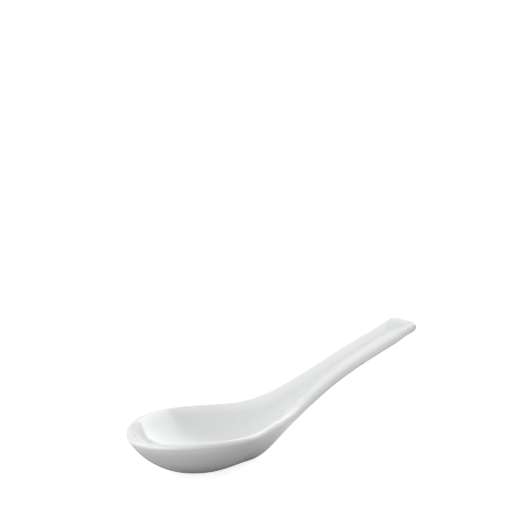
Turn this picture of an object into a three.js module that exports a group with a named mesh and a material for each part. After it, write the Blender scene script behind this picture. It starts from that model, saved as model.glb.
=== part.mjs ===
// Porcelain soup spoon with a flat-footed bowl and a shallow channel along its handle.
// The spoon is one cast and fired porcelain body. A clear glaze is fused over all of it,
// except round the flat foot that it stands on.
// Millimetres, +Z up. The origin is the middle of the foot, and +X runs towards the handle.

import * as THREE from 'three';
import { mergeVertices } from 'three/addons/utils/BufferGeometryUtils.js';

// Plan of the body, seen from above. Places along the spoon are measured from the bowl's tip.
const BODY_LENGTH = 129.4;
const BOWL_WIDTH = 48.3;
const NECK_WIDTH = 14.5;
const HANDLE_END_WIDTH = 13.7;
const WIDEST_AT = 30;
const NECK_AT = 95.5;
// How far the outline keeps its direction at each of these places before it bends away.
const TIP_FULLNESS = 11;
const FRONT_FULLNESS = 16.7;
const REAR_FULLNESS = 12.5;
const NECK_EASE = 39.7;
// The rounded corners of the handle's end.
const END_CORNER_LENGTH = 1.8;
const END_CORNER_EASE = 1.3;
const END_FLATNESS = 6.1;

// Side view of the rim: a little lower at the tip, level along the bowl, then up the handle.
const RIM_HEIGHT = 16.5;
const TIP_DROP = 1.1;
const TIP_DROP_LENGTH = 20;
const TIP_DROP_EASE = 8;
const RISE_AT = 53;
const RISE_EASE = 16.7;
const HANDLE_END_HEIGHT = 39;
const HANDLE_END_SLOPE_DEG = 14.3;
const HANDLE_EASE = 50;

// The keel is the middle line of the underside. Its depth below the rim shrinks from the bowl's
// heel to the slim handle, and the round underside is ground off flat to make the foot.
const GROUND_OFF = 0.6;
const HEEL_AT = 48.5;
const HEEL_EASE = 12.4;
const SLIM_AT = 98;
const SLIM_EASE = 37;
const HANDLE_DEPTH = 3.5;
const END_DEPTH = 3.3;

// The middle line of the inside, from the bowl's floor up to the shallow channel of the handle.
const FLOOR_THICKNESS = 4.4;
const HOLLOW_END_AT = 39;
const HOLLOW_EASE = 14;
const CHANNEL_AT = 103;
const CHANNEL_EASE = 46;
const CHANNEL_DEPTH = 0.85;
const END_CHANNEL_DEPTH = 0.25;

// The rounded lip of the bowl, of the handle and of the handle's end.
const BOWL_LIP_RADIUS = 0.95;
const HANDLE_LIP_RADIUS = 2.1;
const END_LIP_RADIUS = 0.8;

// The glaze, which ends round the foot where it is clear of the table.
const GLAZE_THICKNESS = 0.25;
const GLAZE_GAP = 0.05;
const GLAZE_CLEARANCE = 0.15;

// The lip, the outside and the inside change from the bowl to the handle, each between two places.
// The handle thins down over a length before its end.
const LIP_CHANGE_START = 40;
const LIP_CHANGE_END = 72;
const WALL_CHANGE_START = 66;
const WALL_CHANGE_END = 100;
const HOLLOW_CHANGE_START = 34;
const HOLLOW_CHANGE_END = 92;
const END_THINNING = 12.4;

// Sections of the outside and the inside. A flare is the lean of a wall at the lip. A pull is how
// long a wall keeps its direction, as a share of the distance that it spans.
const BOWL_WALL = { flareDeg: 30.3, keelPull: 0.212, lipPull: 0.465 };
const HANDLE_WALL = { flareDeg: 12, keelPull: 0.49, lipPull: 0.15 };
const END_WALL = { flareDeg: 5, keelPull: 0.8, lipPull: 0.22 };
const BOWL_HOLLOW = { flareDeg: 38, floorPull: 0.25, lipPull: 0.5 };
const HANDLE_HOLLOW = { flareDeg: 75, floorPull: 0.35, lipPull: 0.4 };
const END_HOLLOW = { flareDeg: 84, floorPull: 0.35, lipPull: 0.4 };

// Places where the ribs of the front and of the handle's end fan out from.
const FRONT_FAN_AT = 30.3;
const END_FAN_LENGTH = 9;

// Number of steps along each stretch of the outline, and along each stretch of a section.
const OUTLINE_STEPS = { front: 14, rear: 16, handle: 6, end: 7 };
const FLOOR_STEPS = 8;
const LIP_STEPS = 6;
const WALL_STEPS = 8;
const BARE_STEPS = 2;
// Extra ribs make the rear ends of the foot and of the bare area round.
const REAR_END_STEP = 1;
const LEAST_RIB_GAP = 0.8;
const SEARCH_STEPS = 40;
const MERGE_DISTANCE = 0.0005;

// Finishes.
const BISCUIT_COLOUR = 0xece9e2;
const BISCUIT_ROUGHNESS = 0.75;
const GLAZE_COLOUR = 0xe6e9e8;
const GLAZE_ROUGHNESS = 0.1;

const GLAZED_ROWS = FLOOR_STEPS + LIP_STEPS + WALL_STEPS;

const endFanAt = BODY_LENGTH - END_FAN_LENGTH;
const endCornerAt = BODY_LENGTH - END_CORNER_LENGTH;
const endThinningAt = BODY_LENGTH - END_THINNING;
const bowlDepth = RIM_HEIGHT - FLOOR_THICKNESS;
const heelDepth = RIM_HEIGHT + GROUND_OFF;
const glazeReach = GLAZE_GAP + GLAZE_THICKNESS;
const bareHeight = glazeReach + GLAZE_CLEARANCE;
const halfTurn = THREE.MathUtils.degToRad(180);
const handleEndSlope = Math.tan(THREE.MathUtils.degToRad(HANDLE_END_SLOPE_DEG));

/** The place between low and high at which a rising measure reaches a value. */
function whereReached(measure, value, low, high) {
  let before = low;
  let after = high;
  for (let step = 0; step < SEARCH_STEPS; step += 1) {
    const middle = (before + after) / 2;
    if (measure(middle) < value) {
      before = middle;
    } else {
      after = middle;
    }
  }
  return after;
}

/** A smooth stretch of a section or outline that can also give the points beside it. */
class Stretch extends THREE.CubicBezierCurve {
  /** The unit normal at t, a quarter turn left of the way the stretch runs. */
  normal(t) {
    const first = this.v1.clone().sub(this.v0).multiplyScalar((1 - t) ** 2);
    const second = this.v2.clone().sub(this.v1).multiplyScalar(2 * (1 - t) * t);
    const third = this.v3.clone().sub(this.v2).multiplyScalar(t ** 2);
    const along = first.add(second).add(third).normalize();
    return new THREE.Vector2(-along.y, along.x);
  }

  /** The point at t, moved off the stretch by a distance. */
  beside(t, distance) {
    return this.getPoint(t).addScaledVector(this.normal(t), distance);
  }

  /** The place t at which the stretch's rising x reaches a value. */
  whereX(x) {
    return whereReached((t) => this.getPoint(t).x, x, 0, 1);
  }

  /** The y at x, kept level beyond the stretch's ends. */
  heightAt(x) {
    return this.getPoint(this.whereX(x)).y;
  }
}

/** Makes a stretch from four [x, y] corners. */
function stretch(...corners) {
  return new Stretch(...corners.map(([x, y]) => new THREE.Vector2(x, y)));
}

// Half of the plan outline, from the tip round to the middle of the handle's end.
const outline = {
  front: stretch(
    [0, 0],
    [0, TIP_FULLNESS],
    [WIDEST_AT - FRONT_FULLNESS, BOWL_WIDTH / 2],
    [WIDEST_AT, BOWL_WIDTH / 2],
  ),
  rear: stretch(
    [WIDEST_AT, BOWL_WIDTH / 2],
    [WIDEST_AT + REAR_FULLNESS, BOWL_WIDTH / 2],
    [NECK_AT - NECK_EASE, NECK_WIDTH / 2],
    [NECK_AT, NECK_WIDTH / 2],
  ),
  handle: new THREE.LineCurve(
    new THREE.Vector2(NECK_AT, NECK_WIDTH / 2),
    new THREE.Vector2(endCornerAt, HANDLE_END_WIDTH / 2),
  ),
  end: stretch(
    [endCornerAt, HANDLE_END_WIDTH / 2],
    [endCornerAt + END_CORNER_EASE, HANDLE_END_WIDTH / 2],
    [BODY_LENGTH, END_FLATNESS],
    [BODY_LENGTH, 0],
  ),
};

// Side view: the tip's drop, the rim's rise into the handle, the slimming underside and the inside.
const tipDrop = stretch(
  [0, RIM_HEIGHT - TIP_DROP],
  [TIP_DROP_EASE, RIM_HEIGHT - TIP_DROP / 2],
  [TIP_DROP_LENGTH - TIP_DROP_EASE, RIM_HEIGHT],
  [TIP_DROP_LENGTH, RIM_HEIGHT],
);
const rise = stretch(
  [RISE_AT, RIM_HEIGHT],
  [RISE_AT + RISE_EASE, RIM_HEIGHT],
  [BODY_LENGTH - HANDLE_EASE, HANDLE_END_HEIGHT - HANDLE_EASE * handleEndSlope],
  [BODY_LENGTH, HANDLE_END_HEIGHT],
);
const slimming = stretch(
  [HEEL_AT, heelDepth],
  [HEEL_AT + HEEL_EASE, heelDepth],
  [SLIM_AT - SLIM_EASE, HANDLE_DEPTH],
  [SLIM_AT, HANDLE_DEPTH],
);
const hollowing = stretch(
  [HOLLOW_END_AT, bowlDepth],
  [HOLLOW_END_AT + HOLLOW_EASE, bowlDepth],
  [CHANNEL_AT - CHANNEL_EASE, CHANNEL_DEPTH],
  [CHANNEL_AT, CHANNEL_DEPTH],
);

/** Height of the rim's top above the foot, at a place along the spoon. */
function rimHeight(x) {
  return x < TIP_DROP_LENGTH ? tipDrop.heightAt(x) : rise.heightAt(x);
}

/** How far the handle has thinned down to its end, from 0 to 1. */
function thinning(x) {
  return THREE.MathUtils.smoothstep(x, endThinningAt, BODY_LENGTH);
}

/** Depth of the keel below the rim, at a place along the spoon. */
function keelDepth(x) {
  return slimming.heightAt(x) + (END_DEPTH - HANDLE_DEPTH) * thinning(x);
}

/** Height of the keel above the foot, which is below 0 where the foot is ground off. */
function keelHeight(x) {
  return rimHeight(x) - keelDepth(x);
}

/** Depth of the inside's middle line below the rim, at a place along the spoon. */
function floorDepth(x) {
  return hollowing.heightAt(x) + (END_CHANNEL_DEPTH - CHANNEL_DEPTH) * thinning(x);
}

/** Radius of the rounded lip, at a place along the spoon. */
function lipRadius(x) {
  const share = THREE.MathUtils.smoothstep(x, LIP_CHANGE_START, LIP_CHANGE_END);
  const radius = THREE.MathUtils.lerp(BOWL_LIP_RADIUS, HANDLE_LIP_RADIUS, share);
  return THREE.MathUtils.lerp(radius, END_LIP_RADIUS, thinning(x));
}

/** Mixes two sets of sizes that have the same names. */
function mix(here, there, share) {
  const mixed = Object.entries(here).map(([name, size]) => {
    return [name, THREE.MathUtils.lerp(size, there[name], share)];
  });
  return Object.fromEntries(mixed);
}

/** The outer walls of bowl, handle and end, mixed for a place along the spoon. */
function wallAt(x) {
  const share = THREE.MathUtils.smoothstep(x, WALL_CHANGE_START, WALL_CHANGE_END);
  return mix(mix(BOWL_WALL, HANDLE_WALL, share), END_WALL, thinning(x));
}

/** The hollows of bowl, handle and end, mixed for a place along the spoon. */
function hollowAt(x) {
  const share = THREE.MathUtils.smoothstep(x, HOLLOW_CHANGE_START, HOLLOW_CHANGE_END);
  return mix(mix(BOWL_HOLLOW, HANDLE_HOLLOW, share), END_HOLLOW, thinning(x));
}

/** A step down a wall that leans outward by the flare. */
function downWall(flareDeg, length) {
  const lean = THREE.MathUtils.degToRad(flareDeg);
  return new THREE.Vector2(Math.sin(lean), Math.cos(lean)).multiplyScalar(-length);
}

/** One rib: the section from the bowl's floor over the lip to the foot, at one point of the outline. */
class Rib {
  constructor(edge) {
    const start = THREE.MathUtils.clamp(edge.x, FRONT_FAN_AT, endFanAt);
    this.start = new THREE.Vector2(start, 0);
    this.direction = edge.clone().sub(this.start);
    const reach = this.direction.length();
    this.direction.normalize();

    const wall = wallAt(edge.x);
    const hollow = hollowAt(edge.x);
    this.lipRadius = lipRadius(edge.x);
    this.lipMiddle = new THREE.Vector2(reach - this.lipRadius, -this.lipRadius);
    this.lipInnerAngle = halfTurn - THREE.MathUtils.degToRad(hollow.flareDeg);
    this.lipOuterAngle = -THREE.MathUtils.degToRad(wall.flareDeg);

    this.floor = this.floorStretch(hollow, new THREE.Vector2(0, -floorDepth(start)));
    this.wall = this.wallStretch(wall, new THREE.Vector2(0, -keelDepth(start)));
    this.glazeEnd = this.whereWallReaches(bareHeight);
    this.footEnd = this.whereWallReaches(0);
  }

  /** A point on the lip's round edge, at an angle and a distance off the body. */
  lipPoint(angle, distance) {
    const radius = this.lipRadius + distance;
    const round = new THREE.Vector2(Math.cos(angle), Math.sin(angle));
    return this.lipMiddle.clone().addScaledVector(round, radius);
  }

  /** The inside, from the middle of the floor up to the lip. */
  floorStretch({ flareDeg, floorPull, lipPull }, middle) {
    const lip = this.lipPoint(this.lipInnerAngle, 0);
    const span = middle.distanceTo(lip);
    const offMiddle = new THREE.Vector2(floorPull * span, 0);
    const offLip = downWall(flareDeg, lipPull * span);
    return new Stretch(middle, offMiddle.add(middle), offLip.add(lip), lip);
  }

  /** The outside, from the lip down to the keel. */
  wallStretch({ flareDeg, keelPull, lipPull }, keel) {
    const lip = this.lipPoint(this.lipOuterAngle, 0);
    const span = keel.distanceTo(lip);
    const offLip = downWall(flareDeg, lipPull * span);
    const offKeel = new THREE.Vector2(keelPull * span, 0);
    return new Stretch(lip, offLip.add(lip), offKeel.add(keel), keel);
  }

  /** The place t at which the outside comes down to a height above the foot. */
  whereWallReaches(height) {
    return whereReached((t) => -this.place(this.wall.getPoint(t), 1).z, -height, 0, 1);
  }

  /** Section points of the glazed skin, floor to the glaze's end, at a distance off the body. */
  glazedPoints(distance) {
    const points = [];
    for (let step = 0; step <= FLOOR_STEPS; step += 1) {
      points.push(this.floor.beside(step / FLOOR_STEPS, distance));
    }
    for (let step = 1; step <= LIP_STEPS; step += 1) {
      const angle = THREE.MathUtils.lerp(this.lipInnerAngle, this.lipOuterAngle, step / LIP_STEPS);
      points.push(this.lipPoint(angle, distance));
    }
    for (let step = 1; step <= WALL_STEPS; step += 1) {
      points.push(this.wall.beside((this.glazeEnd * step) / WALL_STEPS, distance));
    }
    return points;
  }

  /** Section points of the bare area and the foot, from the glaze's end to the keel. */
  barePoints() {
    const points = [];
    for (let step = 1; step <= BARE_STEPS; step += 1) {
      const t = THREE.MathUtils.lerp(this.glazeEnd, this.footEnd, step / BARE_STEPS);
      points.push(this.wall.getPoint(t));
    }
    points.push(this.wall.v3);
    return points;
  }

  /** Places a section point in space, on the far side (1) or the near side (-1), ground flat at the foot. */
  place(point, side) {
    const x = this.start.x + this.direction.x * point.x;
    const rim = rimHeight(x);
    const drop = Math.min(1, rim / RIM_HEIGHT);
    return new THREE.Vector3(x, this.direction.y * point.x * side, Math.max(0, rim + point.y * drop));
  }
}

const footRearAt = whereReached(keelHeight, 0, HEEL_AT, SLIM_AT);
const bareRearAt = whereReached(keelHeight, bareHeight, HEEL_AT, SLIM_AT);

/** The ribs of one side, from the tip to the middle of the handle's end.
 *  Those near the rear ends of the foot and the bare area give way to ribs that make both ends round. */
function sideRibs() {
  const points = [outline.front.getPoint(0)];
  for (const [name, steps] of Object.entries(OUTLINE_STEPS)) {
    points.push(...outline[name].getPoints(steps).slice(1));
  }
  const ends = [footRearAt, bareRearAt].flatMap((end) => [end - REAR_END_STEP, end]);
  const kept = points.filter(({ x }) => ends.every((end) => Math.abs(x - end) > LEAST_RIB_GAP));
  const added = ends.map((end) => outline.rear.getPoint(outline.rear.whereX(end)));
  const edges = [...kept, ...added].sort((one, other) => one.x - other.x);
  return edges.map((edge) => new Rib(edge));
}

/** Joins shared corners, and leaves out triangles that shrank to a line or lie back to back. */
function closedSkin(positions, corners) {
  const geometry = new THREE.BufferGeometry();
  geometry.setAttribute('position', new THREE.Float32BufferAttribute(positions, 3));
  geometry.setIndex(corners);
  const merged = mergeVertices(geometry, MERGE_DISTANCE);
  const index = merged.getIndex().array;
  const kept = new Map();
  for (let first = 0; first < index.length; first += 3) {
    const triangle = Array.from(index.slice(first, first + 3));
    const key = [...triangle].sort((a, b) => a - b).join(' ');
    if (new Set(triangle).size === 3 && !kept.delete(key)) {
      kept.set(key, triangle);
    }
  }
  merged.setIndex([...kept.values()].flat());
  merged.computeVertexNormals();
  return merged;
}

/** The closed skin over all ribs. The section gives each rib's points, floor first.
 *  A coat's section runs back along its inner face after the row named turn. */
function skinOver(ribs, section, turn) {
  const farSide = ribs.map((rib) => section(rib).map((point) => rib.place(point, 1)));
  const nearRibs = ribs.slice(1, -1).reverse();
  const nearSide = nearRibs.map((rib) => section(rib).map((point) => rib.place(point, -1)));
  const ring = [...farSide, ...nearSide];
  const rows = ring[0].length;
  const positions = ring.flat().flatMap((point) => point.toArray());
  const corners = [];
  ring.forEach((points, place) => {
    const next = (place + 1) % ring.length;
    const onFarSide = place < ribs.length - 1;
    for (let row = 0; row < rows - 1; row += 1) {
      const a = place * rows + row;
      const b = next * rows + row;
      const beforeTurn = row <= turn;
      if (onFarSide === beforeTurn) {
        corners.push(a, b, a + 1, b, b + 1, a + 1);
      } else {
        corners.push(a, b, b + 1, a, b + 1, a + 1);
      }
    }
  });
  return closedSkin(positions, corners);
}

/** The porcelain body: bowl, neck and handle in one piece, with the bare foot. */
function porcelainBody(ribs) {
  const section = (rib) => [...rib.glazedPoints(0), ...rib.barePoints()];
  const material = new THREE.MeshStandardMaterial({
    color: BISCUIT_COLOUR,
    roughness: BISCUIT_ROUGHNESS,
    metalness: 0,
  });
  const turn = GLAZED_ROWS + BARE_STEPS + 1;
  const mesh = new THREE.Mesh(skinOver(ribs, section, turn), material);
  mesh.name = 'porcelain_body';
  return mesh;
}

/** The clear glaze: a thin coat over the body that is open round the foot. */
function clearGlaze(ribs) {
  const section = (rib) => {
    const outerFace = rib.glazedPoints(glazeReach);
    const innerFace = rib.glazedPoints(GLAZE_GAP).reverse();
    return [...outerFace, ...innerFace];
  };
  const material = new THREE.MeshStandardMaterial({
    color: GLAZE_COLOUR,
    roughness: GLAZE_ROUGHNESS,
    metalness: 0,
  });
  const mesh = new THREE.Mesh(skinOver(ribs, section, GLAZED_ROWS), material);
  mesh.name = 'clear_glaze';
  return mesh;
}

const ribs = sideRibs();
const tipRib = ribs[0];
const footFrontAt = tipRib.place(tipRib.wall.getPoint(tipRib.footEnd), 1).x;

const pieces = new THREE.Group();
pieces.add(porcelainBody(ribs));
pieces.add(clearGlaze(ribs));
pieces.position.x = -(footFrontAt + footRearAt) / 2;

const spoon = new THREE.Group();
spoon.add(pieces);

export default spoon;
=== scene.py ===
"""A glazed porcelain soup spoon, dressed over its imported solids.

The spoon is one fired porcelain body under a clear glaze, which is left off round the flat foot.
Both skins are bent over ribs. A rib is a section that starts in the middle of the bowl's floor,
runs up the inside, over the lip and down the outside to the foot.
"""

import logging
import math
from collections.abc import Callable
from dataclasses import astuple, dataclass, field
from enum import Enum

import bmesh
import bpy
from mathutils import Matrix, Vector


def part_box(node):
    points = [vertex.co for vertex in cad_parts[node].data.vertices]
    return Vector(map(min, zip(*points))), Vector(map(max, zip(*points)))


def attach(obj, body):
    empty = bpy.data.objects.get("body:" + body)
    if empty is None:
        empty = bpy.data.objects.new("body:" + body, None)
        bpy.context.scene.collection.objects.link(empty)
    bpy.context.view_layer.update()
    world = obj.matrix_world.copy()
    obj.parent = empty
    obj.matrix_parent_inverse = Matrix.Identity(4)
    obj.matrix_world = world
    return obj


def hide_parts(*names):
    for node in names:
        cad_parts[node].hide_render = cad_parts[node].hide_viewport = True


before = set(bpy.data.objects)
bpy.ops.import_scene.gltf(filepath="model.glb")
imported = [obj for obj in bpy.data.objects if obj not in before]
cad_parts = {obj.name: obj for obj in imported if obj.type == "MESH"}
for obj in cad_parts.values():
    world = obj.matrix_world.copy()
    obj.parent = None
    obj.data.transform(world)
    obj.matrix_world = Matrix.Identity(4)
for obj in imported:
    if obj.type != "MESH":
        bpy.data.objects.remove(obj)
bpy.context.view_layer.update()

MM = 0.001
BODY = "root"
BODY_NODE = "porcelain_body"
GLAZE_NODE = "clear_glaze"
SEARCH_STEPS = 40
# Corners nearer than WELD are joined. The glaze stays INSET inside the box of the solids.
WELD = 0.0005 * MM
INSET = 0.002 * MM
# Half the side of the flat sheet that a skin is bent from.
SHEET_HALF = 0.5

Socket = bpy.types.NodeSocket
Colour = tuple[float, float, float]

log = logging.getLogger("porcelain_spoon")


def smooth_share(value: float, low: float, high: float) -> float:
    """Eases a value between two limits.

    Args:
        value: The value to place.
        low: Where the result starts to leave 0.
        high: Where the result reaches 1.

    Returns:
        A share from 0 to 1 that starts and ends level.
    """
    share = min(1.0, max(0.0, (value - low) / (high - low)))
    return share * share * (3.0 - 2.0 * share)


def where_reached(
    measure: Callable[[float], float], value: float, low: float, high: float
) -> float:
    """Finds the place at which a rising measure reaches a value.

    Args:
        measure: Gives the measure at a place.
        value: The value to reach.
        low: The first place to look at.
        high: The last place to look at.

    Returns:
        The place.
    """
    for _ in range(SEARCH_STEPS):
        middle = (low + high) / 2.0
        if measure(middle) < value:
            low = middle
        else:
            high = middle
    return high


@dataclass(frozen=True)
class Bend:
    """A smooth stretch of an outline or a section, drawn by its two ends and two pulls."""

    start: Vector
    start_pull: Vector
    end_pull: Vector
    end: Vector

    @classmethod
    def through(cls, *corners: tuple[float, float]) -> "Bend":
        """Makes a bend from four (x, y) corners."""
        return cls(*(Vector(corner) for corner in corners))

    def at(self, t: float) -> Vector:
        """Finds a point of the bend.

        Args:
            t: The place along the bend, from 0 to 1.

        Returns:
            The point at t.
        """
        rest = 1.0 - t
        near_start = self.start * rest**3 + self.start_pull * (3.0 * rest**2 * t)
        near_end = self.end_pull * (3.0 * rest * t**2) + self.end * t**3
        return near_start + near_end

    def beside(self, t: float, distance: float) -> Vector:
        """Finds a point beside the bend.

        Args:
            t: The place along the bend, from 0 to 1.
            distance: How far to the left of the bend's run the point lies.

        Returns:
            The point at t, moved square to the bend.
        """
        rest = 1.0 - t
        along = (self.start_pull - self.start) * rest**2
        along += (self.end_pull - self.start_pull) * (2.0 * rest * t)
        along += (self.end - self.end_pull) * t**2
        return self.at(t) + Vector((-along.y, along.x)).normalized() * distance

    def t_at(self, x: float) -> float:
        """Returns the place t, from 0 to 1, at which the bend's rising x reaches a value."""
        return where_reached(lambda t: self.at(t).x, x, 0.0, 1.0)

    def height_at(self, x: float) -> float:
        """Returns the bend's y at x, kept level beyond the bend's ends."""
        inside = min(self.end.x, max(self.start.x, x))
        return self.at(self.t_at(inside)).y


@dataclass(frozen=True)
class Profile:
    """Sizes of a part of the section, which can be mixed with the same sizes elsewhere.

    A flare is the lean of a wall at the lip, in degrees. A pull is how long a wall keeps its
    direction, as a share of the distance that it spans.
    """

    def towards(self, other: "Profile", share: float) -> "Profile":
        """Returns the profile that lies a share of the way towards another one."""
        pairs = zip(astuple(self), astuple(other))
        return type(self)(*(here + (there - here) * share for here, there in pairs))


@dataclass(frozen=True)
class Wall(Profile):
    """The outside of a section, from the lip down to the keel."""

    flare: float
    keel_pull: float
    lip_pull: float


@dataclass(frozen=True)
class Hollow(Profile):
    """The inside of a section, from the middle of the floor up to the lip."""

    flare: float
    floor_pull: float
    lip_pull: float


@dataclass
class SpoonForm:
    """The spoon's plan, side view and sections.

    Lengths are in metres and the slope is in degrees. Places are measured from the bowl's tip.
    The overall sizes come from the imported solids.
    """

    tip: float
    length: float
    bowl_width: float
    handle_top: float
    coat: float
    neck_width: float = 14.5 * MM
    handle_end_width: float = 13.7 * MM
    widest_at: float = 30.0 * MM
    neck_at: float = 95.5 * MM
    tip_fullness: float = 11.0 * MM
    front_fullness: float = 16.7 * MM
    rear_fullness: float = 12.5 * MM
    neck_ease: float = 39.7 * MM
    end_corner_length: float = 1.8 * MM
    end_corner_ease: float = 1.3 * MM
    end_flatness: float = 6.1 * MM
    rim_height: float = 16.5 * MM
    tip_drop: float = 1.1 * MM
    tip_drop_length: float = 20.0 * MM
    tip_drop_ease: float = 8.0 * MM
    heel_at: float = 48.5 * MM
    rise_at: float = 53.0 * MM
    rise_ease: float = 16.7 * MM
    handle_end_slope: float = 14.3
    handle_ease: float = 50.0 * MM
    handle_depth: float = 3.5 * MM
    slim_at: float = 98.0 * MM
    heel_ease: float = 12.4 * MM
    slim_ease: float = 37.0 * MM
    end_depth: float = 3.3 * MM
    floor_thickness: float = 4.4 * MM
    hollow_end: float = 39.0 * MM
    hollow_ease: float = 14.0 * MM
    channel_at: float = 103.0 * MM
    channel_ease: float = 46.0 * MM
    channel_depth: float = 0.85 * MM
    end_channel_depth: float = 0.25 * MM
    ground_off: float = 0.6 * MM
    glaze_clearance: float = 0.15 * MM
    front_fan_at: float = 30.3 * MM
    end_fan_length: float = 9.0 * MM
    wall_change_start: float = 66.0 * MM
    wall_change_end: float = 100.0 * MM
    hollow_change_start: float = 34.0 * MM
    hollow_change_end: float = 92.0 * MM
    end_thinning: float = 12.4 * MM
    bowl_lip: float = 0.95 * MM
    handle_lip: float = 2.1 * MM
    end_lip: float = 0.8 * MM
    lip_change_start: float = 40.0 * MM
    lip_change_end: float = 72.0 * MM
    bowl_wall: Wall = Wall(30.3, 0.212, 0.465)
    handle_wall: Wall = Wall(12.0, 0.49, 0.15)
    end_wall: Wall = Wall(5.0, 0.8, 0.22)
    bowl_hollow: Hollow = Hollow(38.0, 0.25, 0.5)
    handle_hollow: Hollow = Hollow(75.0, 0.35, 0.4)
    end_hollow: Hollow = Hollow(84.0, 0.35, 0.4)
    steps_front: int = 36
    steps_rear: int = 88
    steps_handle: int = 20
    steps_end: int = 18
    rear_end_step: float = 0.25 * MM

    @classmethod
    def from_frame(cls) -> "SpoonForm":
        """Takes the tip's place, the overall sizes and the glaze's reach from the solids.

        Returns:
            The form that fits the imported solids.
        """
        low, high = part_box(BODY_NODE)
        glaze_low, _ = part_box(GLAZE_NODE)
        return cls(
            tip=low.x,
            length=high.x - low.x,
            bowl_width=high.y - low.y,
            handle_top=high.z,
            coat=low.x - glaze_low.x - INSET,
        )

    def __post_init__(self) -> None:
        """Draws the lines that the ribs follow."""
        half_bowl, half_neck = self.bowl_width / 2.0, self.neck_width / 2.0
        half_end = self.handle_end_width / 2.0
        corner_at = self.length - self.end_corner_length
        self.end_fan_at = self.length - self.end_fan_length
        self.front = Bend.through(
            (0.0, 0.0),
            (0.0, self.tip_fullness),
            (self.widest_at - self.front_fullness, half_bowl),
            (self.widest_at, half_bowl),
        )
        self.rear = Bend.through(
            (self.widest_at, half_bowl),
            (self.widest_at + self.rear_fullness, half_bowl),
            (self.neck_at - self.neck_ease, half_neck),
            (self.neck_at, half_neck),
        )
        self.handle_end = Bend.through(
            (corner_at, half_end),
            (corner_at + self.end_corner_ease, half_end),
            (self.length, self.end_flatness),
            (self.length, 0.0),
        )
        self.tip_line = Bend.through(
            (0.0, self.rim_height - self.tip_drop),
            (self.tip_drop_ease, self.rim_height - self.tip_drop / 2.0),
            (self.tip_drop_length - self.tip_drop_ease, self.rim_height),
            (self.tip_drop_length, self.rim_height),
        )
        slope = math.tan(math.radians(self.handle_end_slope))
        end_height = self.handle_top + self.end_lip * (1.0 + slope - math.hypot(1.0, slope))
        self.rise = Bend.through(
            (self.rise_at, self.rim_height),
            (self.rise_at + self.rise_ease, self.rim_height),
            (self.length - self.handle_ease, end_height - self.handle_ease * slope),
            (self.length, end_height),
        )
        self.slimming = Bend.through(
            (self.heel_at, self.rim_height + self.ground_off),
            (self.heel_at + self.heel_ease, self.rim_height + self.ground_off),
            (self.slim_at - self.slim_ease, self.handle_depth),
            (self.slim_at, self.handle_depth),
        )
        bowl_depth = self.rim_height - self.floor_thickness
        self.hollowing = Bend.through(
            (self.hollow_end, bowl_depth),
            (self.hollow_end + self.hollow_ease, bowl_depth),
            (self.channel_at - self.channel_ease, self.channel_depth),
            (self.channel_at, self.channel_depth),
        )

    def rim_at(self, x: float) -> float:
        """Returns the height of the rim's top at a place along the spoon."""
        return self.tip_line.height_at(x) if x < self.tip_drop_length else self.rise.height_at(x)

    def lip_at(self, x: float) -> float:
        """Finds the rounded lip at a place along the spoon.

        Args:
            x: The place.

        Returns:
            The lip's radius.
        """
        share = smooth_share(x, self.lip_change_start, self.lip_change_end)
        lip = self.bowl_lip + (self.handle_lip - self.bowl_lip) * share
        return lip + (self.end_lip - lip) * self.end_at(x)

    def wall_at(self, x: float) -> Wall:
        """Mixes the outer walls of bowl, handle and end for a place along the spoon.

        Args:
            x: The place.

        Returns:
            The wall.
        """
        share = smooth_share(x, self.wall_change_start, self.wall_change_end)
        wall = self.bowl_wall.towards(self.handle_wall, share)
        return wall.towards(self.end_wall, self.end_at(x))

    def hollow_at(self, x: float) -> Hollow:
        """Mixes the hollows of bowl, handle and end for a place along the spoon.

        Args:
            x: The place.

        Returns:
            The hollow.
        """
        share = smooth_share(x, self.hollow_change_start, self.hollow_change_end)
        hollow = self.bowl_hollow.towards(self.handle_hollow, share)
        return hollow.towards(self.end_hollow, self.end_at(x))

    def end_at(self, x: float) -> float:
        """Returns how far the handle has thinned down to its end at a place along the spoon."""
        return smooth_share(x, self.length - self.end_thinning, self.length)

    def keel_at(self, x: float) -> float:
        """Returns the depth of the underside's middle line below the rim."""
        thinning = (self.end_depth - self.handle_depth) * self.end_at(x)
        return self.slimming.height_at(x) + thinning

    def floor_at(self, x: float) -> float:
        """Returns the depth of the inside's middle line below the rim."""
        thinning = (self.end_channel_depth - self.channel_depth) * self.end_at(x)
        return self.hollowing.height_at(x) + thinning

    def outline(self) -> list[Vector]:
        """Lists points of one side's outline, from the tip to the middle of the handle's end.

        Extra points make the rear ends of the foot and of the bare area round.

        Returns:
            The points, seen from above.
        """
        points = [self.front.at(step / self.steps_front) for step in range(self.steps_front)]
        points += [self.rear.at(step / self.steps_rear) for step in range(self.steps_rear)]
        neck, corner = self.rear.end, self.handle_end.start
        steps = self.steps_handle
        points += [neck.lerp(corner, step / steps) for step in range(steps)]
        points += [self.handle_end.at(step / self.steps_end) for step in range(self.steps_end + 1)]
        for height in (0.0, self.coat + self.glaze_clearance):
            end = self.keel_reaches(height)
            points += [self.rear.at(self.rear.t_at(x)) for x in (end - self.rear_end_step, end)]
        return sorted(points, key=lambda point: point.x)

    def keel_reaches(self, height: float) -> float:
        """Returns the place behind the heel at which the underside comes up to a height."""
        return where_reached(
            lambda x: self.rim_at(x) - self.keel_at(x), height, self.heel_at, self.slim_at
        )

    def ribs(self) -> list["Rib"]:
        """Returns the ribs of one side, from the tip to the middle of the handle's end."""
        return [Rib(self, edge) for edge in self.outline()]


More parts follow.
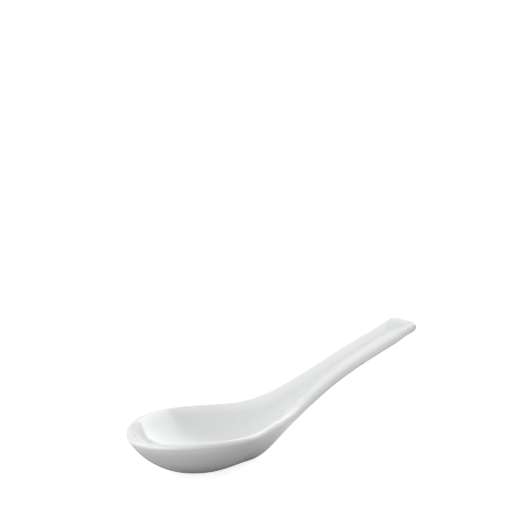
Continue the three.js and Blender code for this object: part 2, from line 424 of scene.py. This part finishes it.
class Rib:
    """One section of the spoon, from the middle of the bowl's floor over the lip to the foot."""

    floor_steps: int = 36
    lip_steps: int = 18
    wall_steps: int = 24
    bare_steps: int = 5

    def __init__(self, form: SpoonForm, edge: Vector) -> None:
        """Draws the section that ends at one point of the outline.

        Args:
            form: The spoon's lines and sizes.
            edge: A point of the outline, seen from above.
        """
        self.form = form
        self.start = min(form.end_fan_at, max(form.front_fan_at, edge.x))
        run = edge - Vector((self.start, 0.0))
        self.direction = run.normalized()
        wall, hollow = form.wall_at(edge.x), form.hollow_at(edge.x)
        self.lip = form.lip_at(edge.x)
        self.lip_middle = Vector((run.length - self.lip, -self.lip))
        self.inner_angle = math.pi - math.radians(hollow.flare)
        self.outer_angle = -math.radians(wall.flare)
        self.floor = self._floor(hollow, Vector((0.0, -form.floor_at(self.start))))
        self.wall = self._wall(wall, Vector((0.0, -form.keel_at(self.start))))
        self.glaze_end = self._wall_reaches(form.coat + form.glaze_clearance)
        self.foot_end = self._wall_reaches(0.0)

    @staticmethod
    def _down(flare: float, length: float) -> Vector:
        """Returns a step down a wall that leans outward by the flare, in degrees."""
        lean = math.radians(flare)
        return Vector((math.sin(lean), math.cos(lean))) * -length

    def _floor(self, hollow: Hollow, middle: Vector) -> Bend:
        """Draws the inside, from the middle of the floor up to the lip.

        Args:
            hollow: The sizes of the inside here.
            middle: The middle of the floor.

        Returns:
            The inside's bend.
        """
        lip = self.lip_point(self.inner_angle, 0.0)
        span = (lip - middle).length
        off_middle = middle + Vector((hollow.floor_pull * span, 0.0))
        off_lip = lip + self._down(hollow.flare, hollow.lip_pull * span)
        return Bend(middle, off_middle, off_lip, lip)

    def _wall(self, wall: Wall, keel: Vector) -> Bend:
        """Draws the outside, from the lip down to the underside's middle line.

        Args:
            wall: The sizes of the outside here.
            keel: The point on the underside's middle line.

        Returns:
            The outside's bend.
        """
        lip = self.lip_point(self.outer_angle, 0.0)
        span = (keel - lip).length
        off_keel = keel + Vector((wall.keel_pull * span, 0.0))
        off_lip = lip + self._down(wall.flare, wall.lip_pull * span)
        return Bend(lip, off_lip, off_keel, keel)

    def _wall_reaches(self, height: float) -> float:
        """Returns the place on the outside at which it comes down to a height above the table."""
        return where_reached(lambda t: -self.place(self.wall.at(t)).z, -height, 0.0, 1.0)

    def lip_point(self, angle: float, distance: float) -> Vector:
        """Returns a point of the lip's round edge, at a distance off the body."""
        around = Vector((math.cos(angle), math.sin(angle)))
        return self.lip_middle + around * (self.lip + distance)

    def glazed(self, distance: float) -> list[Vector]:
        """Lists the section's points under the glaze, from the floor's middle to the glaze's end.

        Args:
            distance: How far off the body the points lie.

        Returns:
            The section's points, outward distance first and height under the rim second.
        """
        points = []
        for step in range(self.floor_steps):
            points.append(self.floor.beside(step / self.floor_steps, distance))
        turn = self.outer_angle - self.inner_angle
        for step in range(self.lip_steps):
            angle = self.inner_angle + turn * step / self.lip_steps
            points.append(self.lip_point(angle, distance))
        for step in range(self.wall_steps + 1):
            points.append(self.wall.beside(self.glaze_end * step / self.wall_steps, distance))
        return points

    def bare(self) -> list[Vector]:
        """Lists the section's points from the glaze's end to the middle of the ground foot.

        Returns:
            The section's points, outward distance first and height under the rim second.
        """
        left = self.foot_end - self.glaze_end
        steps = range(1, self.bare_steps + 1)
        points = [self.wall.at(self.glaze_end + left * step / self.bare_steps) for step in steps]
        return points + [self.wall.end]

    def place(self, point: Vector) -> Vector:
        """Finds where a point of the section lies on the far side of the spoon.

        Args:
            point: The point, outward distance first and height under the rim second.

        Returns:
            The point in space, before the foot is ground flat.
        """
        x = self.start + self.direction.x * point.x
        rim = self.form.rim_at(x)
        drop = min(1.0, rim / self.form.rim_height)
        return Vector((self.form.tip + x, self.direction.y * point.x, rim + point.y * drop))

    def stand(self, point: Vector) -> Vector:
        """Returns where a point of the section lies in space, with the foot ground flat."""
        spot = self.place(point)
        return Vector((spot.x, spot.y, max(0.0, spot.z)))


class Layer(Enum):
    """The two skins of the spoon, by the names of their pieces."""

    BISCUIT = "biscuit_body"
    GLAZE = "glaze_coat"


class Board:
    """Adds nodes to a node tree and joins them up."""

    def __init__(self, tree: bpy.types.NodeTree) -> None:
        """Clears a node tree to work on."""
        self.tree = tree
        tree.nodes.clear()

    def add(self, kind: str, **settings: object) -> bpy.types.Node:
        """Adds a node.

        Args:
            kind: The node's type name.
            **settings: Properties to set on the node.

        Returns:
            The new node.
        """
        node = self.tree.nodes.new(kind)
        for name, value in settings.items():
            setattr(node, name, value)
        return node

    def join(self, source: Socket, target: Socket) -> None:
        """Joins an output to an input."""
        self.tree.links.new(source, target)

    def mix(self, below: "Socket | Colour", above: Colour, share: Socket) -> Socket:
        """Mixes a colour over another one.

        Args:
            below: The colour at a share of 0, or a socket that gives it.
            above: The colour at a share of 1.
            share: The socket that gives the share.

        Returns:
            The socket of the mixed colour.
        """
        node = self.add("ShaderNodeMix", data_type="RGBA")
        first, second = (socket for socket in node.inputs if socket.type == "RGBA")
        if isinstance(below, tuple):
            first.default_value = (*below, 1.0)
        else:
            self.join(below, first)
        second.default_value = (*above, 1.0)
        self.join(share, node.inputs[0])
        return next(socket for socket in node.outputs if socket.type == "RGBA")

    def ramp(
        self,
        value: Socket,
        given: tuple[float, float],
        made: tuple[float, float],
        eased: bool = True,
    ) -> Socket:
        """Maps a value from one range to another one, and holds it at the ends.

        Args:
            value: The socket that gives the value.
            given: The two ends of the value's range.
            made: What the two ends become.
            eased: Whether the change starts and ends level.

        Returns:
            The socket of the mapped value.
        """
        kind = "SMOOTHSTEP" if eased else "LINEAR"
        node = self.add("ShaderNodeMapRange", interpolation_type=kind)
        ends = zip(("From Min", "From Max", "To Min", "To Max"), given + made)
        for name, end in ends:
            node.inputs[name].default_value = end
        self.join(value, node.inputs["Value"])
        return node.outputs["Result"]

    def maths(self, operation: str, *terms: "Socket | float") -> Socket:
        """Works out a value.

        Args:
            operation: The name of the operation.
            *terms: Its terms in order, as numbers or as sockets that give them.

        Returns:
            The socket of the value.
        """
        node = self.add("ShaderNodeMath", operation=operation)
        for term, target in zip(terms, node.inputs):
            if isinstance(term, float):
                target.default_value = term
            else:
                self.join(term, target)
        return node.outputs["Value"]

    def bump(self, first: Socket, second: Socket) -> Socket:
        """Bumps a surface by two heights.

        Args:
            first: The socket of a height in metres.
            second: The socket of a height in metres that is added to it.

        Returns:
            The socket of the normals that both heights give.
        """
        bump = self.add("ShaderNodeBump")
        bump.inputs["Distance"].default_value = 1.0
        self.join(self.maths("ADD", first, second), bump.inputs["Height"])
        return bump.outputs["Normal"]

    def finish(self, shader: Socket, output: str = "ShaderNodeOutputMaterial") -> None:
        """Leads a shader to the tree's output."""
        self.join(shader, self.add(output).inputs["Surface"])


def start_material(name: str) -> tuple[bpy.types.Material, Board]:
    """Starts a material.

    Args:
        name: The material's name.

    Returns:
        The material, and a board for its nodes.
    """
    material = bpy.data.materials.new(name)
    material.use_nodes = True
    return material, Board(material.node_tree)


class Mark(Enum):
    """The surface effects that both finishes share, by the names of their node groups."""

    SPECKS = "kiln_specks"
    WAVER = "hand_waver"


def effect(mark: Mark, inputs: tuple[str, ...], output: str) -> tuple[bpy.types.NodeTree, Board]:
    """Starts the node group of an effect.

    Args:
        mark: The effect.
        inputs: The names of the group's number inputs, after the vector.
        output: The name of the group's output.

    Returns:
        The node group, and a board for its nodes.
    """
    group = bpy.data.node_groups.new(mark.value, "ShaderNodeTree")
    group.interface.new_socket("Vector", in_out="INPUT", socket_type="NodeSocketVector")
    for name in inputs:
        group.interface.new_socket(name, in_out="INPUT", socket_type="NodeSocketFloat")
    group.interface.new_socket(output, in_out="OUTPUT", socket_type="NodeSocketFloat")
    return group, Board(group)


class SharedMarks:
    """Builds each shared effect once, as a node group, and places it in materials.

    A speck is full up to its core and gone at its edge, as shares of its size.
    """

    speck_edge: float = 0.5
    speck_core: float = 0.2
    waver_detail: float = 1.0

    def __init__(self) -> None:
        """Builds the groups."""
        self.groups = {Mark.SPECKS: self._specks(), Mark.WAVER: self._waver()}

    def place(self, board: Board, mark: Mark, place: Socket, **values: float) -> Socket:
        """Places an effect in a material.

        Args:
            board: The material's board.
            mark: The effect.
            place: The socket that gives the place on the surface.
            **values: The effect's own inputs, by name.

        Returns:
            The effect's output socket.
        """
        node = board.add("ShaderNodeGroup", node_tree=self.groups[mark])
        board.join(place, node.inputs["Vector"])
        for name, value in values.items():
            node.inputs[name].default_value = value
        return node.outputs[0]

    def _specks(self) -> bpy.types.NodeTree:
        """Builds sparse round specks of ash and iron, with a spacing and a size in metres.

        Returns:
            The node group.
        """
        group, board = effect(Mark.SPECKS, ("Spacing", "Size"), "Mask")
        given = board.add("NodeGroupInput")
        spacing = given.outputs["Spacing"]
        cells = board.add("ShaderNodeTexVoronoi")
        board.join(given.outputs["Vector"], cells.inputs["Vector"])
        board.join(board.maths("DIVIDE", 1.0, spacing), cells.inputs["Scale"])
        distance = board.maths("MULTIPLY", cells.outputs["Distance"], spacing)
        share = board.maths("DIVIDE", distance, given.outputs["Size"])
        dot = board.ramp(share, (self.speck_edge, self.speck_core), (0.0, 1.0))
        board.join(dot, board.add("NodeGroupOutput").inputs["Mask"])
        return group

    def _waver(self) -> bpy.types.NodeTree:
        """Builds a hand-finished, uneven surface, with a length and a height in metres.

        Returns:
            The node group.
        """
        group, board = effect(Mark.WAVER, ("Length", "Height"), "Level")
        given = board.add("NodeGroupInput")
        noise = board.add("ShaderNodeTexNoise")
        noise.inputs["Detail"].default_value = self.waver_detail
        board.join(given.outputs["Vector"], noise.inputs["Vector"])
        board.join(board.maths("DIVIDE", 1.0, given.outputs["Length"]), noise.inputs["Scale"])
        level = board.maths("MULTIPLY", noise.outputs["Fac"], given.outputs["Height"])
        board.join(level, board.add("NodeGroupOutput").inputs["Level"])
        return group


@dataclass(frozen=True)
class GlazeFinish:
    """Clear glaze over white porcelain: cool where it has pooled, whiter where it runs thin."""

    thin_colour: Colour = (0.87, 0.882, 0.875)
    pooled_colour: Colour = (0.785, 0.805, 0.795)
    speck_colour: Colour = (0.36, 0.31, 0.25)
    speck_spacing: float = 5.0 * MM
    speck_size: float = 0.4 * MM
    speck_strength: float = 0.5
    waver_length: float = 9.0 * MM
    waver_height: float = 0.012 * MM
    peel_length: float = 0.8 * MM
    peel_height: float = 0.0006 * MM
    smooth_roughness: float = 0.07
    dull_roughness: float = 0.13
    dull_length: float = 14.0 * MM
    dull_from: float = 0.3
    dull_to: float = 0.7

    def material(self, marks: SharedMarks) -> bpy.types.Material:
        """Makes the glaze's material.

        Args:
            marks: The shared effects.

        Returns:
            The material.
        """
        material, board = start_material("clear_glaze")
        shader = board.add("ShaderNodeBsdfPrincipled")
        place = board.add("ShaderNodeTexCoord").outputs["Object"]
        board.join(self._colour(board, marks, place), shader.inputs["Base Color"])
        dull = marks.place(board, Mark.WAVER, place, Length=self.dull_length, Height=1.0)
        limits = (self.dull_from, self.dull_to), (self.smooth_roughness, self.dull_roughness)
        board.join(board.ramp(dull, *limits, eased=False), shader.inputs["Roughness"])
        waver = marks.place(
            board, Mark.WAVER, place, Length=self.waver_length, Height=self.waver_height
        )
        peel = marks.place(
            board, Mark.WAVER, place, Length=self.peel_length, Height=self.peel_height
        )
        board.join(board.bump(waver, peel), shader.inputs["Normal"])
        board.finish(shader.outputs["BSDF"])
        return material

    def _colour(self, board: Board, marks: SharedMarks, place: Socket) -> Socket:
        """Mixes the glaze's colour from its depth and its specks.

        Args:
            board: The material's board.
            marks: The shared effects.
            place: The socket that gives the place on the surface.

        Returns:
            The socket of the colour.
        """
        depth = board.add("ShaderNodeAttribute", attribute_name="pooled").outputs["Fac"]
        tint = board.mix(self.thin_colour, self.pooled_colour, depth)
        specks = marks.place(
            board, Mark.SPECKS, place, Spacing=self.speck_spacing, Size=self.speck_size
        )
        strength = board.maths("MULTIPLY", specks, self.speck_strength)
        return board.mix(tint, self.speck_colour, strength)


@dataclass(frozen=True)
class BiscuitFinish:
    """Bare fired porcelain, as it shows on the ground foot."""

    ground_colour: Colour = (0.74, 0.715, 0.66)
    flashed_colour: Colour = (0.6, 0.46, 0.33)
    speck_colour: Colour = (0.3, 0.25, 0.2)
    speck_spacing: float = 1.6 * MM
    speck_size: float = 0.35 * MM
    grain_length: float = 0.35 * MM
    grain_height: float = 0.012 * MM
    waver_length: float = 4.0 * MM
    waver_height: float = 0.03 * MM
    roughness: float = 0.8

    def material(self, marks: SharedMarks) -> bpy.types.Material:
        """Makes the bare porcelain's material.

        Args:
            marks: The shared effects.

        Returns:
            The material.
        """
        material, board = start_material("bare_porcelain")
        shader = board.add("ShaderNodeBsdfPrincipled")
        shader.inputs["Roughness"].default_value = self.roughness
        place = board.add("ShaderNodeTexCoord").outputs["Object"]
        flash = board.add("ShaderNodeAttribute", attribute_name="flashed").outputs["Fac"]
        tint = board.mix(self.ground_colour, self.flashed_colour, flash)
        specks = marks.place(
            board, Mark.SPECKS, place, Spacing=self.speck_spacing, Size=self.speck_size
        )
        board.join(board.mix(tint, self.speck_colour, specks), shader.inputs["Base Color"])
        waver = marks.place(
            board, Mark.WAVER, place, Length=self.waver_length, Height=self.waver_height
        )
        grain = marks.place(
            board, Mark.WAVER, place, Length=self.grain_length, Height=self.grain_height
        )
        board.join(board.bump(waver, grain), shader.inputs["Normal"])
        board.finish(shader.outputs["BSDF"])
        return material


@dataclass
class PorcelainSpoon:
    """The spoon's two skins: the biscuit body and the glaze over it.

    The glaze runs thin over a width beside the lip, and the bare porcelain is flashed over a
    width beside the glaze's end.
    """

    form: SpoonForm
    glaze_finish: GlazeFinish = GlazeFinish()
    biscuit_finish: BiscuitFinish = BiscuitFinish()
    thin_width: float = 3.0 * MM
    flash_width: float = 1.2 * MM
    gap: float = 0.05 * MM
    ribs: list[Rib] = field(init=False)

    def __post_init__(self) -> None:
        """Stands the ribs that both skins are bent over."""
        self.ribs = self.form.ribs()

    def build(self) -> list[bpy.types.Object]:
        """Builds and dresses both skins.

        Returns:
            The two pieces, the body first.
        """
        body = self.skin(Layer.BISCUIT, [rib.glazed(0.0) + rib.bare() for rib in self.ribs])
        glaze = self.skin(Layer.GLAZE, [rib.glazed(self.form.coat) for rib in self.ribs])
        coat = glaze.modifiers.new("coat", "SOLIDIFY")
        coat.thickness = self.form.coat - self.gap
        coat.offset = -1.0
        marks = SharedMarks()
        body.data.materials.append(self.biscuit_finish.material(marks))
        glaze.data.materials.append(self.glaze_finish.material(marks))
        for piece, node in ((body, BODY_NODE), (glaze, GLAZE_NODE)):
            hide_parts(node)
            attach(piece, BODY)
        return [body, glaze]

    def skin(self, layer: Layer, sections: list[list[Vector]]) -> bpy.types.Object:
        """Bends a flat sheet over the ribs of one side, and mirrors it to the other.

        Args:
            layer: Which skin it is.
            sections: The section's points on each rib.

        Returns:
            The skin as an object.
        """
        bends, rows = len(sections) - 1, len(sections[0]) - 1
        sheet = bmesh.new()
        bmesh.ops.create_grid(sheet, x_segments=bends, y_segments=rows, size=SHEET_HALF)
        pooled = sheet.verts.layers.float.new("pooled")
        flashed = sheet.verts.layers.float.new("flashed")
        for vert in sheet.verts:
            place = round((vert.co.x + SHEET_HALF) * bends)
            row = round((vert.co.y + SHEET_HALF) * rows)
            rib, point = self.ribs[place], sections[place][row]
            vert.co = rib.stand(point)
            off_lip = (point - rib.lip_middle).length - rib.lip
            vert[pooled] = smooth_share(off_lip, 0.0, self.thin_width)
            off_glaze_end = (point - rib.wall.at(rib.glaze_end)).length
            vert[flashed] = 1.0 - smooth_share(off_glaze_end, 0.0, self.flash_width)
        everything = sheet.verts[:] + sheet.edges[:] + sheet.faces[:]
        bmesh.ops.mirror(sheet, geom=everything, axis="Y", merge_dist=WELD)
        bmesh.ops.remove_doubles(sheet, verts=sheet.verts, dist=WELD)
        bmesh.ops.dissolve_degenerate(sheet, edges=sheet.edges, dist=WELD)
        bmesh.ops.recalc_face_normals(sheet, faces=sheet.faces)
        mesh = bpy.data.meshes.new(layer.value)
        for face in sheet.faces:
            face.smooth = True
        sheet.to_mesh(mesh)
        sheet.free()
        piece = bpy.data.objects.new(layer.value, mesh)
        bpy.context.scene.collection.objects.link(piece)
        return piece


def heading(azimuth: float, elevation: float) -> Vector:
    """Finds a direction away from the spoon.

    Args:
        azimuth: The turn round the spoon in degrees, 0 at the bowl's near side.
        elevation: The angle above the floor in degrees.

    Returns:
        A vector of length 1.
    """
    turn, lift = math.radians(azimuth), math.radians(elevation)
    level = Vector((math.sin(turn), -math.cos(turn), 0.0)) * math.cos(lift)
    return level + Vector((0.0, 0.0, math.sin(lift)))


@dataclass(frozen=True)
class Softbox:
    """A soft rectangular light that faces the spoon, placed by its direction from the foot.

    Angles are in degrees, lengths in metres and the power in watts. The fade is a share of the
    height, over which the light fades out towards its top.
    """

    name: str
    azimuth: float
    elevation: float
    width: float
    height: float
    power: float
    fade: float = 0.0
    distance: float = 1.2

    def hang(self) -> bpy.types.Object:
        """Hangs the light.

        Returns:
            The light.
        """
        lamp = bpy.data.lights.new(self.name, "AREA")
        lamp.shape = "RECTANGLE"
        lamp.size = self.width
        lamp.size_y = self.height
        lamp.energy = self.power
        if self.fade:
            self.soften(lamp)
        light = bpy.data.objects.new(self.name, lamp)
        away = heading(self.azimuth, self.elevation)
        turn = away.to_track_quat("Z", "Y").to_matrix().to_4x4()
        light.matrix_world = Matrix.Translation(away * self.distance) @ turn
        bpy.context.scene.collection.objects.link(light)
        return light

    def soften(self, lamp: bpy.types.AreaLight) -> None:
        """Lets the light fade out towards its top.

        Args:
            lamp: The light's lamp.
        """
        lamp.use_nodes = True
        board = Board(lamp.node_tree)
        spot = board.add("ShaderNodeSeparateXYZ")
        board.join(board.add("ShaderNodeNewGeometry").outputs["Parametric"], spot.inputs["Vector"])
        level = board.ramp(spot.outputs["Y"], (1.0, 1.0 - self.fade), (0.0, 1.0))
        glow = board.add("ShaderNodeEmission")
        board.join(level, glow.inputs["Strength"])
        board.finish(glow.outputs["Emission"], "ShaderNodeOutputLight")


@dataclass
class Studio:
    """The pale floor, the soft lights and the camera. Angles are in degrees, lengths in metres."""

    floor_size: float = 12.0
    floor_grey: float = 0.42
    floor_glow: float = 0.84
    # Painted shade: the floor's glow in the glaze is dimmed to shaded_sheen round shade_at out to
    # shade_reach, and rises to floor_glow at sheen_reach, by place on the floor.
    shaded_sheen: float = 0.05
    shade_at: float = -10.0 * MM
    shade_reach: float = 16.0 * MM
    sheen_reach: float = 62.0 * MM
    side_light: float = 0.18
    top_light: float = 0.68
    ceiling: float = 0.4
    dim_from: float = 15.0
    dim_to: float = 50.0
    azimuth: float = -40.0
    elevation: float = 12.113
    distance: float = 800.0 * MM
    aim_from_tip: float = 35.7 * MM
    slide_right: float = 14.404 * MM
    slide_up: float = 75.21 * MM
    lens: float = 156.04
    sensor: float = 36.0
    softboxes: tuple[Softbox, ...] = (
        Softbox("handle_side", 86.0, 47.0, 1.1, 1.1, 10.7, fade=0.5),
        Softbox("handle_low", 66.0, 11.0, 1.8, 0.45, 2.1),
        Softbox("tip_side", 282.0, 12.0, 0.7, 0.7, 6.8),
        Softbox("far_side", 232.0, 36.0, 0.7, 0.7, 4.3),
    )

    def build(self) -> None:
        """Sets out the floor, the lights and the camera."""
        bpy.context.scene.view_settings.view_transform = "Standard"
        self.floor()
        self.surround()
        for softbox in self.softboxes:
            softbox.hang()
        self.camera()

    def floor(self) -> bpy.types.Object:
        """Lays the pale floor.

        Returns:
            The floor.
        """
        sheet = bmesh.new()
        bmesh.ops.create_grid(sheet, x_segments=1, y_segments=1, size=self.floor_size / 2.0)
        mesh = bpy.data.meshes.new("floor")
        sheet.to_mesh(mesh)
        sheet.free()
        floor = bpy.data.objects.new("floor", mesh)
        bpy.context.scene.collection.objects.link(floor)
        mesh.materials.append(self.floor_material())
        return floor

    def floor_material(self) -> bpy.types.Material:
        """Makes a floor that the camera sees as white, with the spoon's shadow on it, and with a
        painted shade near the bowl in its glow as the glaze reflects it.

        Returns:
            The material.
        """
        material, board = start_material("pale_floor")
        plain = board.add("ShaderNodeBsdfDiffuse")
        grey = self.floor_grey
        plain.inputs["Color"].default_value = (grey, grey, grey, 1.0)
        glow = board.add("ShaderNodeEmission")
        ray = board.add("ShaderNodeLightPath")
        seen = board.maths("MULTIPLY", ray.outputs["Is Camera Ray"], self.floor_glow)
        glossy = ray.outputs["Is Glossy Ray"]
        # The glow that the glaze reflects carries the painted shade of floor_sheen near the bowl.
        strength = board.maths("MULTIPLY_ADD", glossy, self.floor_sheen(board), seen)
        board.join(strength, glow.inputs["Strength"])
        both = board.add("ShaderNodeAddShader")
        board.join(plain.outputs["BSDF"], both.inputs[0])
        board.join(glow.outputs["Emission"], both.inputs[1])
        board.finish(both.outputs["Shader"])
        return material

    def floor_sheen(self, board: Board) -> Socket:
        """Makes the floor show dimmer in the glaze near the bowl: a painted shade, set by place on
        the floor and not by a cast shadow.

        Args:
            board: The floor material's board.

        Returns:
            The socket that gives how bright the floor shows in the glaze, painted shade included.
        """
        place = board.add("ShaderNodeTexCoord").outputs["Object"]
        away = board.add("ShaderNodeVectorMath", operation="DISTANCE")
        away.inputs[1].default_value = (self.shade_at, 0.0, 0.0)
        board.join(place, away.inputs[0])
        reach = (self.shade_reach, self.sheen_reach)
        return board.ramp(away.outputs["Value"], reach, (self.shaded_sheen, self.floor_glow))

    def surround(self) -> None:
        """Lights the room softly from above. It shows white at the horizon and dimmer above."""
        world = bpy.data.worlds.new("studio")
        world.use_nodes = True
        bpy.context.scene.world = world
        board = Board(world.node_tree)
        background = board.add("ShaderNodeBackground")
        spot = board.add("ShaderNodeSeparateXYZ")
        board.join(board.add("ShaderNodeTexCoord").outputs["Generated"], spot.inputs["Vector"])
        height = spot.outputs["Z"]
        dimming = math.sin(math.radians(self.dim_from)), math.sin(math.radians(self.dim_to))
        room = board.ramp(height, dimming, (1.0, self.ceiling))
        light = board.ramp(height, (0.0, 1.0), (self.side_light, self.top_light), eased=False)
        ray = board.add("ShaderNodeLightPath")
        strength = board.add("ShaderNodeMapRange")
        board.join(room, strength.inputs["To Min"])
        board.join(light, strength.inputs["To Max"])
        board.join(ray.outputs["Is Diffuse Ray"], strength.inputs["Value"])
        board.join(strength.outputs["Result"], background.inputs["Strength"])
        board.finish(background.outputs["Background"], "ShaderNodeOutputWorld")

    def camera(self) -> bpy.types.Object:
        """Sets up the camera at the photograph's viewing angle.

        Returns:
            The camera.
        """
        back = heading(self.azimuth, self.elevation)
        right = Vector((0.0, 0.0, 1.0)).cross(back).normalized()
        up = back.cross(right)
        data = bpy.data.cameras.new("camera")
        data.lens = self.lens
        data.sensor_width = self.sensor
        camera = bpy.data.objects.new("camera", data)
        tip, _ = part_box(BODY_NODE)
        place = Vector((tip.x + self.aim_from_tip, 0.0, 0.0)) + back * self.distance
        place += right * self.slide_right + up * self.slide_up
        turn = Matrix((right, up, back)).transposed().to_4x4()
        camera.matrix_world = Matrix.Translation(place) @ turn
        bpy.context.scene.collection.objects.link(camera)
        bpy.context.scene.camera = camera
        return camera


def main() -> None:
    """Builds the spoon and its studio."""
    logging.basicConfig(level=logging.INFO)
    spoon = PorcelainSpoon(SpoonForm.from_frame())
    for piece in spoon.build():
        log.info("%s: %d faces", piece.name, len(piece.data.polygons))
    Studio().build()


if __name__ == "__main__":
    main()
